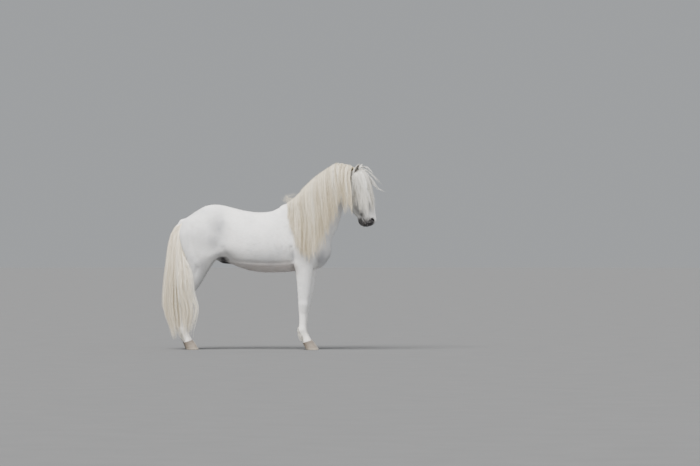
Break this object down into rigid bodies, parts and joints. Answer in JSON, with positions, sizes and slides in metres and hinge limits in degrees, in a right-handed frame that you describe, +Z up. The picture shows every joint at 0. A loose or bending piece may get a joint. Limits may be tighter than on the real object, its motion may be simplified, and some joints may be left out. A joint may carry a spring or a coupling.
{
  "type": "icelandic horse model",
  "caption": "Life-size still model of a white Icelandic horse, standing square with an arched neck, long mane falling on its right side, forelock over the face and a full tail.",
  "frame": {"origin": "on the floor, under the middle of the model's box", "axes": "+X towards the head, +Y towards the horse's left, +Z up"},
  "size_m": [2.176, 0.5394, 1.809],
  "materials": {
    "coat": "short smooth coat",
    "hair": "long satin hair",
    "ear_skin": "soft matte",
    "horn": "satin",
    "eye": "glossy"
  },
  "bodies": {
    "root": {"torso": "coat", "neck": "hair", "head": "coat", "ear_right": "ear_skin", "eye_right": "eye", "front_leg_upper_right": "coat", "front_leg_lower_right": "coat", "front_leg_hoof_right": "horn", "hind_leg_upper_right": "coat", "hind_leg_lower_right": "coat", "hind_leg_hoof_right": "horn", "ear_left": "ear_skin", "eye_left": "eye", "front_leg_upper_left": "coat", "front_leg_lower_left": "coat", "front_leg_hoof_left": "horn", "hind_leg_upper_left": "coat", "hind_leg_lower_left": "coat", "hind_leg_hoof_left": "horn", "tail": "hair"}
  },
  "joints": []
}
